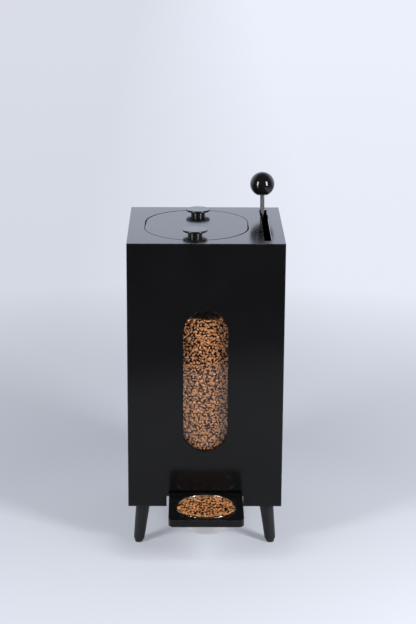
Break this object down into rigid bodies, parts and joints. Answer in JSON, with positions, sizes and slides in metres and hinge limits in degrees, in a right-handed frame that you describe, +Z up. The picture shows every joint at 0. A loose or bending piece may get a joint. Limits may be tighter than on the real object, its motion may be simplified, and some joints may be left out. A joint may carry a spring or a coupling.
{
  "type": "lever pet food dispenser cabinet",
  "caption": "Black square-plan pet food cabinet on splayed legs, with a stadium window, flush lid, lever-worked outlet gate and a sliding tray holding a steel bowl.",
  "frame": {"origin": "on the floor, under the middle of the whole object with its tray pulled out as pictured", "axes": "+Z up, the front with its window and tray faces -Y, +X to the right as seen from the front"},
  "size_m": [0.376, 0.535, 0.8677],
  "materials": {
    "black_lacquer": "satin black lacquer on board",
    "inner_board": "dark stained plywood, matt",
    "leg_black": "satin black paint on turned wood",
    "clear_pane": "clear polished sheet",
    "rod_chrome": "bright plated steel",
    "ball_black": "gloss moulded black",
    "knob_black": "gloss moulded black",
    "bowl_steel": "polished spun stainless steel",
    "gate_steel": "brushed sheet steel",
    "fixing_steel": "zinc plated steel",
    "seal_rubber": "matt rubber"
  },
  "bodies": {
    "cabinet": {"front_panel": "black_lacquer", "back_panel": "black_lacquer", "left_panel": "black_lacquer", "right_panel": "black_lacquer", "top_panel": "black_lacquer", "base_board_left": "inner_board", "base_board_right": "inner_board", "leg_front_left": "leg_black", "leg_front_right": "leg_black", "leg_rear_left": "leg_black", "leg_rear_right": "leg_black", "leg_bolts": "fixing_steel", "foot_pads": "seal_rubber", "window_pane": "clear_pane", "pane_screws": "fixing_steel", "lid_ledge": "inner_board", "lid_gasket": "seal_rubber", "lever_divider": "inner_board", "outlet_shelf": "inner_board", "shelf_cleat_left": "inner_board", "shelf_cleat_right": "inner_board", "funnel_left": "inner_board", "funnel_right": "inner_board", "funnel_front": "inner_board", "funnel_back": "inner_board", "gate_guide_left": "inner_board", "gate_guide_right": "inner_board", "tray_rail_left": "inner_board", "tray_rail_right": "inner_board", "rail_screws": "fixing_steel", "tray_stop": "inner_board", "pivot_shaft": "fixing_steel", "shaft_spacers": "fixing_steel"},
    "lever": {"lever_hub": "fixing_steel", "lever_rod": "rod_chrome", "ball_knob": "ball_black", "drive_arm": "fixing_steel", "drive_pin": "fixing_steel"},
    "gate": {"gate_plate": "gate_steel", "gate_yoke": "gate_steel"},
    "tray": {"tray_board": "black_lacquer"},
    "bowl": {"bowl": "bowl_steel"},
    "lid": {"lid_board": "black_lacquer", "knob_front": "knob_black", "knob_rear": "knob_black", "knob_screws": "fixing_steel"}
  },
  "joints": [
    {"name": "lever_swing", "type": "hinge", "parent": "cabinet", "child": "lever", "pos_m": [0.1445, 0.08, 0.355], "axis": [1, 0, 0], "range_deg": [-1.3, 37.6]},
    {"name": "gate_slide", "type": "slide", "parent": "cabinet", "child": "gate", "axis": [0, 1, 0], "range_m": [-0.003, 0.0808]},
    {"name": "tray_slide", "type": "slide", "parent": "cabinet", "child": "tray", "axis": [0, 1, 0], "range_m": [0, 0.168]},
    {"name": "bowl_lift", "type": "slide", "parent": "tray", "child": "bowl", "axis": [0, 0, 1], "range_m": [0, 0.055]},
    {"name": "lid_lift", "type": "slide", "parent": "cabinet", "child": "lid", "axis": [0, 0, 1], "range_m": [0, 0.12]}
  ],
  "couplings": [
    {"joint": "gate_slide", "follows": "lever_swing", "m_per_rad": 0.1229}
  ]
}
